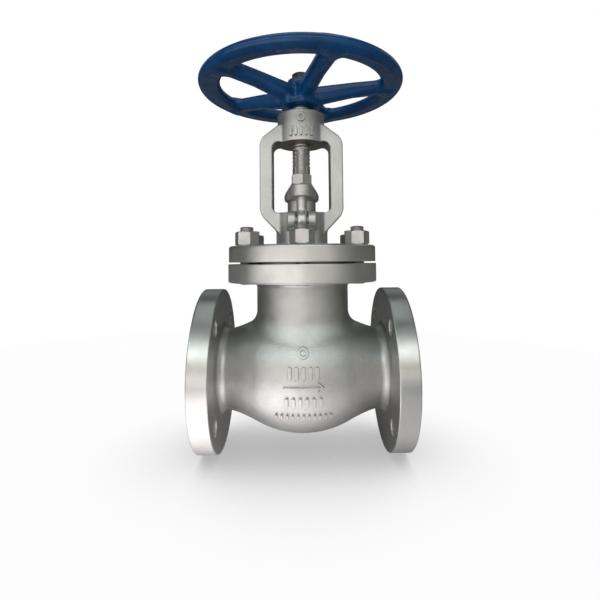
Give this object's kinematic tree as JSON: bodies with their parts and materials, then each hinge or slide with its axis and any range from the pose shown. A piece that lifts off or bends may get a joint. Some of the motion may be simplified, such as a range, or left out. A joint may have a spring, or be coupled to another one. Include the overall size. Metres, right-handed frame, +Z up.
{
  "type": "globe valve",
  "caption": "Flanged globe valve with a rising stem, bolted bonnet, integral yoke, bolted gland and spoked handwheel.",
  "frame": {"origin": "centre of the inlet flange's raised face, on the flow axis", "axes": "+X along the flow from inlet to outlet, +Z up along the stem, -Y towards the front eyebolt"},
  "size_m": [0.2519, 0.252, 0.4608],
  "materials": {
    "cast_body": "satin aluminium paint over cast steel",
    "gland_steel": "dull machined steel with grime",
    "fastener": "satin, thinly painted",
    "machined_steel": "turned stainless steel",
    "dark_steel": "blackened steel",
    "bronze": "dull bronze",
    "graphite": "matt graphite",
    "wheel_enamel": "gloss enamel on cast iron"
  },
  "bodies": {
    "casing": {"body_casting": "cast_body", "seat_ring": "machined_steel", "bonnet_gasket": "graphite", "bonnet_casting": "cast_body", "backseat_bush": "machined_steel", "bonnet_studs": "fastener", "bonnet_nuts": "fastener", "packing_washer": "machined_steel", "packing_rings": "graphite", "yoke_bush": "bronze", "yoke_bush_screw": "dark_steel", "eyebolt_front": "gland_steel", "eyebolt_rear": "gland_steel", "eyebolt_pin_front": "gland_steel", "eyebolt_pin_rear": "gland_steel"},
    "plug": {"disc": "machined_steel", "disc_thrust_plate": "machined_steel", "disc_nut": "machined_steel"},
    "spindle": {"stem": "machined_steel", "handwheel": "wheel_enamel", "handwheel_washer": "dark_steel", "handwheel_nut": "dark_steel"},
    "gland": {"gland_follower": "gland_steel", "gland_flange": "gland_steel"},
    "front_nut": {"gland_nut_front": "fastener"},
    "rear_nut": {"gland_nut_rear": "fastener"}
  },
  "joints": [
    {"name": "disc_lift", "type": "slide", "parent": "casing", "child": "plug", "axis": [0, 0, 1], "range_m": [0, 0.025]},
    {"name": "wheel_spin", "type": "hinge", "parent": "plug", "child": "spindle", "pos_m": [0.12065, 0, 0.3471], "axis": [0, 0, 1], "range_deg": [0, 1800]},
    {"name": "gland_takeup", "type": "slide", "parent": "casing", "child": "gland", "axis": [0, 0, 1], "range_m": [-0.005, 0], "deforming": ["packing_rings"]},
    {"name": "front_nut_turn", "type": "hinge", "parent": "gland", "child": "front_nut", "pos_m": [0.12065, -0.038, 0.222], "axis": [0, 0, 1], "range_deg": [-1028.5, 0]},
    {"name": "rear_nut_turn", "type": "hinge", "parent": "gland", "child": "rear_nut", "pos_m": [0.12065, 0.038, 0.222], "axis": [0, 0, 1], "range_deg": [-1028.5, 0]}
  ],
  "couplings": [
    {"joint": "disc_lift", "follows": "wheel_spin", "m_per_rad": 0.00079577},
    {"joint": "gland_takeup", "follows": "front_nut_turn", "m_per_rad": 0.00027852},
    {"joint": "rear_nut_turn", "follows": "front_nut_turn", "ratio": 1}
  ]
}
